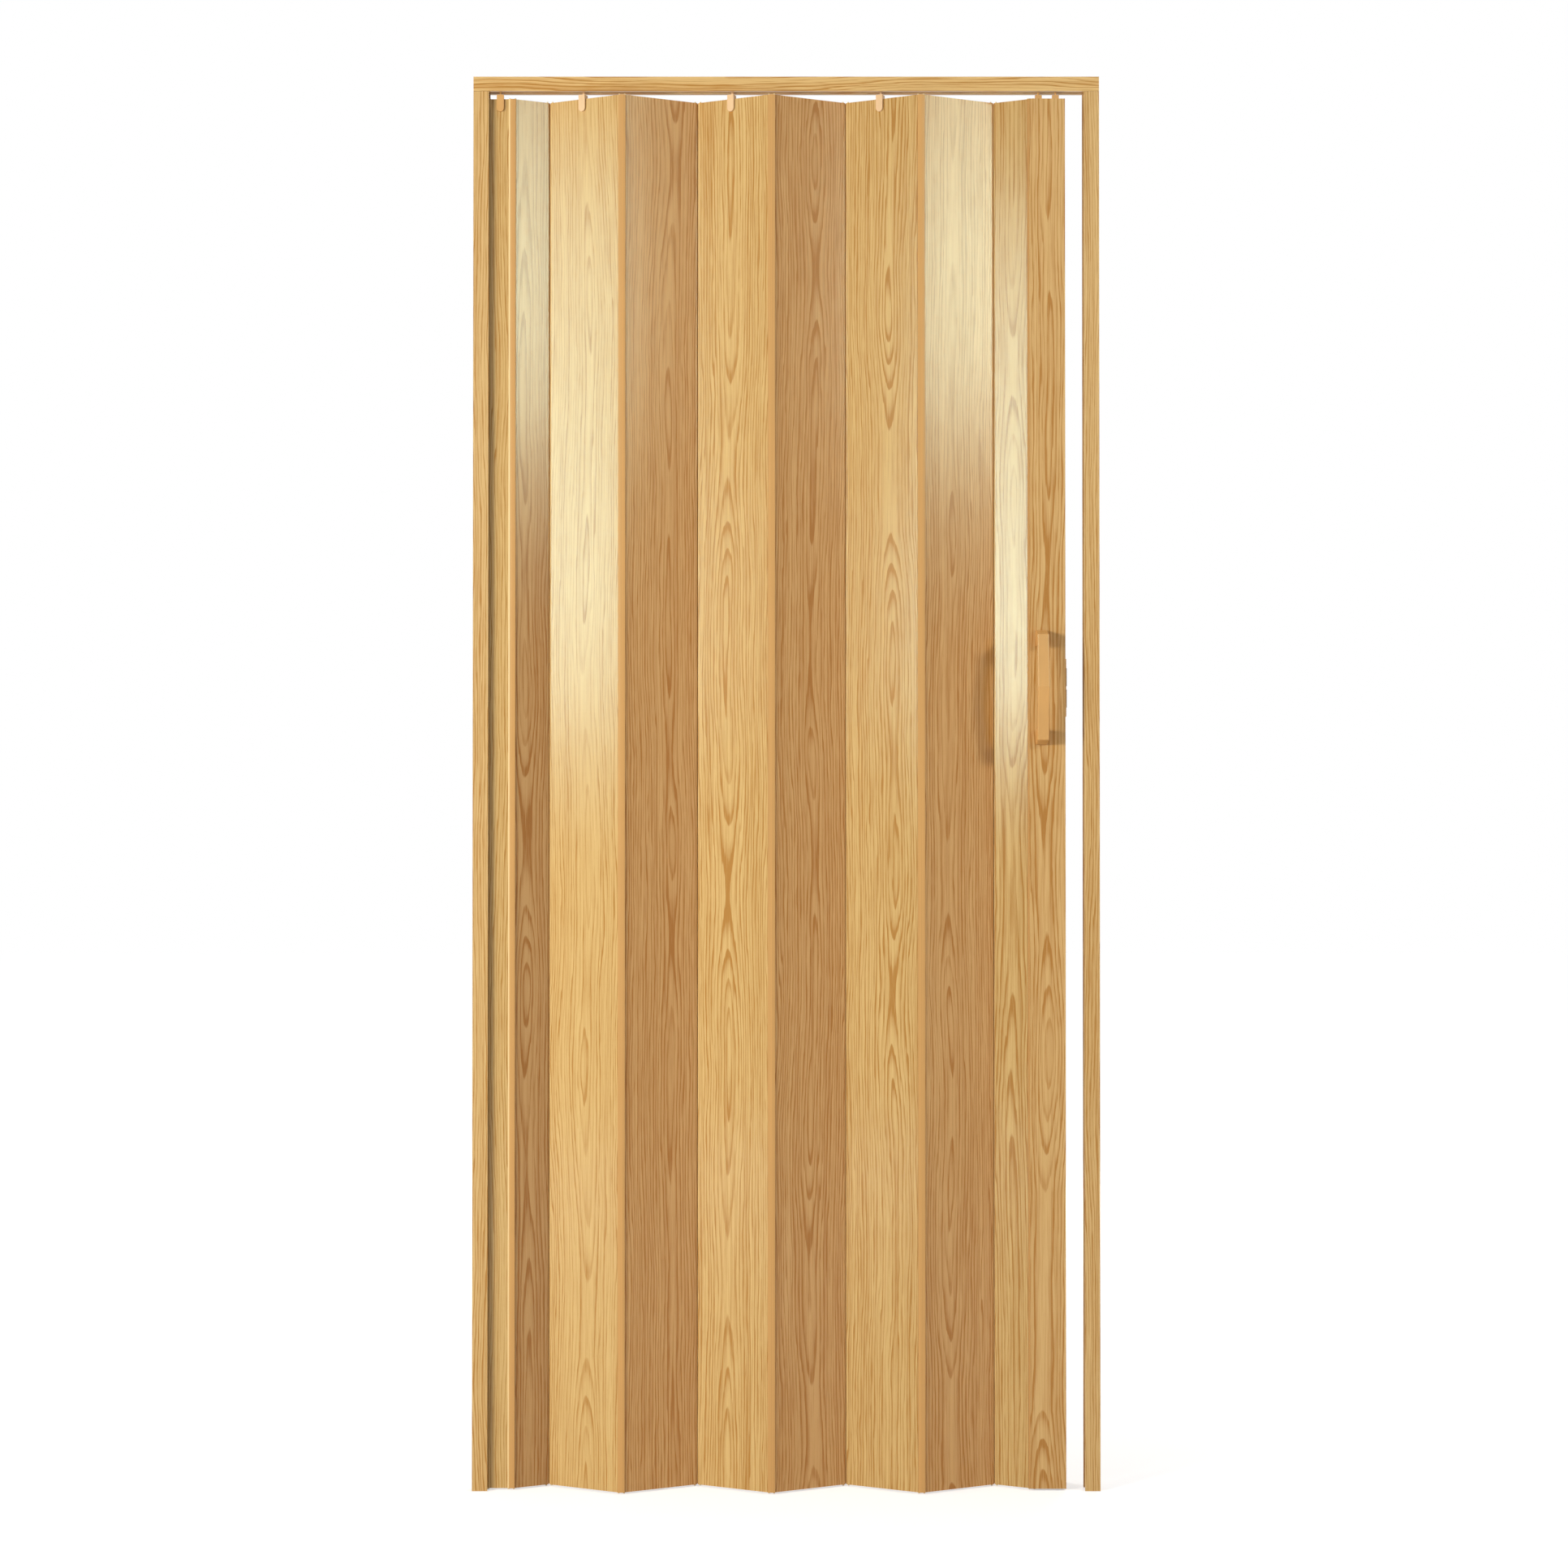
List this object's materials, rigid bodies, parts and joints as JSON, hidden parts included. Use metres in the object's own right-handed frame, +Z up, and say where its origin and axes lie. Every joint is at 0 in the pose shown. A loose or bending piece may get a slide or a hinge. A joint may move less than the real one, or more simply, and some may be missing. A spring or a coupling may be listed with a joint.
{
  "type": "accordion door",
  "caption": "Folding accordion door: hollow slats on flexible strips hang from a slotted rail between channel jambs, with a pull and magnetic catch on the lead post.",
  "frame": {"origin": "on the floor, under the middle of the top rail, midway between front and back", "axes": "+Z up, +X towards the closing jamb, -Y towards the front of the door"},
  "size_m": [0.9088, 0.0962, 2.05],
  "materials": {
    "slat_foil": "wood grained foil on hard plastic, satin gloss",
    "frame_foil": "wood grained foil on hard plastic, satin gloss",
    "soft_strip": "plain tan flexible plastic, satin",
    "moulded_tan": "plain tan moulded plastic, fine texture",
    "zinc_steel": "bright zinc plate",
    "magnet": "dark sintered magnet, matt"
  },
  "bodies": {
    "frame": {"top_rail": "frame_foil", "left_jamb": "frame_foil", "right_jamb": "frame_foil", "strike_plate": "zinc_steel", "connector_0": "soft_strip", "start_slat": "slat_foil", "start_hanger": "moulded_tan", "connector_1": "soft_strip"},
    "leaf_2": {"slat_2": "slat_foil"},
    "strip_2": {"connector_2": "soft_strip"},
    "leaf_3": {"slat_3": "slat_foil", "hanger_3": "moulded_tan"},
    "strip_3": {"connector_3": "soft_strip"},
    "leaf_4": {"slat_4": "slat_foil"},
    "strip_4": {"connector_4": "soft_strip"},
    "leaf_5": {"slat_5": "slat_foil", "hanger_5": "moulded_tan"},
    "strip_5": {"connector_5": "soft_strip"},
    "leaf_6": {"slat_6": "slat_foil"},
    "strip_6": {"connector_6": "soft_strip"},
    "leaf_7": {"slat_7": "slat_foil", "hanger_7": "moulded_tan"},
    "strip_7": {"connector_7": "soft_strip"},
    "leaf_8": {"slat_8": "slat_foil"},
    "strip_8": {"connector_8": "soft_strip"},
    "leaf_9": {"slat_9": "slat_foil"},
    "lead": {"lead_post": "slat_foil", "connector_9": "soft_strip", "lead_hanger_left": "moulded_tan", "lead_hanger_right": "moulded_tan", "front_pull": "moulded_tan", "rear_pull": "moulded_tan", "pull_bolt_upper": "zinc_steel", "pull_bolt_lower": "zinc_steel", "catch_plate": "moulded_tan", "magnet_upper": "magnet", "magnet_lower": "magnet"}
  },
  "joints": [
    {"name": "fold", "type": "hinge", "parent": "frame", "child": "leaf_2", "pos_m": [-0.3947, 0, 1], "axis": [0, 0, 1], "range_deg": [-9.4, 55.3]},
    {"name": "turn_strip_2", "type": "hinge", "parent": "leaf_2", "child": "strip_2", "pos_m": [-0.34964, 0.02073, 1], "axis": [0, 0, 1], "range_deg": [-55.3, 9.4]},
    {"name": "turn_leaf_3", "type": "hinge", "parent": "strip_2", "child": "leaf_3", "pos_m": [-0.34194, 0.02073, 1], "axis": [0, 0, 1], "range_deg": [-55.3, 9.4]},
    {"name": "turn_strip_3", "type": "hinge", "parent": "leaf_3", "child": "strip_3", "pos_m": [-0.24146, -0.02549, 1], "axis": [0, 0, 1], "range_deg": [-9.4, 55.3]},
    {"name": "turn_leaf_4", "type": "hinge", "parent": "strip_3", "child": "leaf_4", "pos_m": [-0.23376, -0.02549, 1], "axis": [0, 0, 1], "range_deg": [-9.4, 55.3]},
    {"name": "turn_strip_4", "type": "hinge", "parent": "leaf_4", "child": "strip_4", "pos_m": [-0.13328, 0.02073, 1], "axis": [0, 0, 1], "range_deg": [-55.3, 9.4]},
    {"name": "turn_leaf_5", "type": "hinge", "parent": "strip_4", "child": "leaf_5", "pos_m": [-0.12558, 0.02073, 1], "axis": [0, 0, 1], "range_deg": [-55.3, 9.4]},
    {"name": "turn_strip_5", "type": "hinge", "parent": "leaf_5", "child": "strip_5", "pos_m": [-0.0251, -0.02549, 1], "axis": [0, 0, 1], "range_deg": [-9.4, 55.3]},
    {"name": "turn_leaf_6", "type": "hinge", "parent": "strip_5", "child": "leaf_6", "pos_m": [-0.0174, -0.02549, 1], "axis": [0, 0, 1], "range_deg": [-9.4, 55.3]},
    {"name": "turn_strip_6", "type": "hinge", "parent": "leaf_6", "child": "strip_6", "pos_m": [0.08308, 0.02073, 1], "axis": [0, 0, 1], "range_deg": [-55.3, 9.4]},
    {"name": "turn_leaf_7", "type": "hinge", "parent": "strip_6", "child": "leaf_7", "pos_m": [0.09078, 0.02073, 1], "axis": [0, 0, 1], "range_deg": [-55.3, 9.4]},
    {"name": "turn_strip_7", "type": "hinge", "parent": "leaf_7", "child": "strip_7", "pos_m": [0.19126, -0.02549, 1], "axis": [0, 0, 1], "range_deg": [-9.4, 55.3]},
    {"name": "turn_leaf_8", "type": "hinge", "parent": "strip_7", "child": "leaf_8", "pos_m": [0.19896, -0.02549, 1], "axis": [0, 0, 1], "range_deg": [-9.4, 55.3]},
    {"name": "turn_strip_8", "type": "hinge", "parent": "leaf_8", "child": "strip_8", "pos_m": [0.29944, 0.02073, 1], "axis": [0, 0, 1], "range_deg": [-55.3, 9.4]},
    {"name": "turn_leaf_9", "type": "hinge", "parent": "strip_8", "child": "leaf_9", "pos_m": [0.30714, 0.02073, 1], "axis": [0, 0, 1], "range_deg": [-55.3, 9.4]},
    {"name": "turn_lead", "type": "hinge", "parent": "leaf_9", "child": "lead", "pos_m": [0.3522, 0, 1], "axis": [0, 0, 1], "range_deg": [-9.4, 55.3]}
  ],
  "couplings": [
    {"joint": "turn_strip_2", "follows": "fold", "ratio": -1},
    {"joint": "turn_leaf_3", "follows": "fold", "ratio": -1},
    {"joint": "turn_strip_3", "follows": "fold", "ratio": 1},
    {"joint": "turn_leaf_4", "follows": "fold", "ratio": 1},
    {"joint": "turn_strip_4", "follows": "fold", "ratio": -1},
    {"joint": "turn_leaf_5", "follows": "fold", "ratio": -1},
    {"joint": "turn_strip_5", "follows": "fold", "ratio": 1},
    {"joint": "turn_leaf_6", "follows": "fold", "ratio": 1},
    {"joint": "turn_strip_6", "follows": "fold", "ratio": -1},
    {"joint": "turn_leaf_7", "follows": "fold", "ratio": -1},
    {"joint": "turn_strip_7", "follows": "fold", "ratio": 1},
    {"joint": "turn_leaf_8", "follows": "fold", "ratio": 1},
    {"joint": "turn_strip_8", "follows": "fold", "ratio": -1},
    {"joint": "turn_leaf_9", "follows": "fold", "ratio": -1},
    {"joint": "turn_lead", "follows": "fold", "ratio": 1}
  ]
}
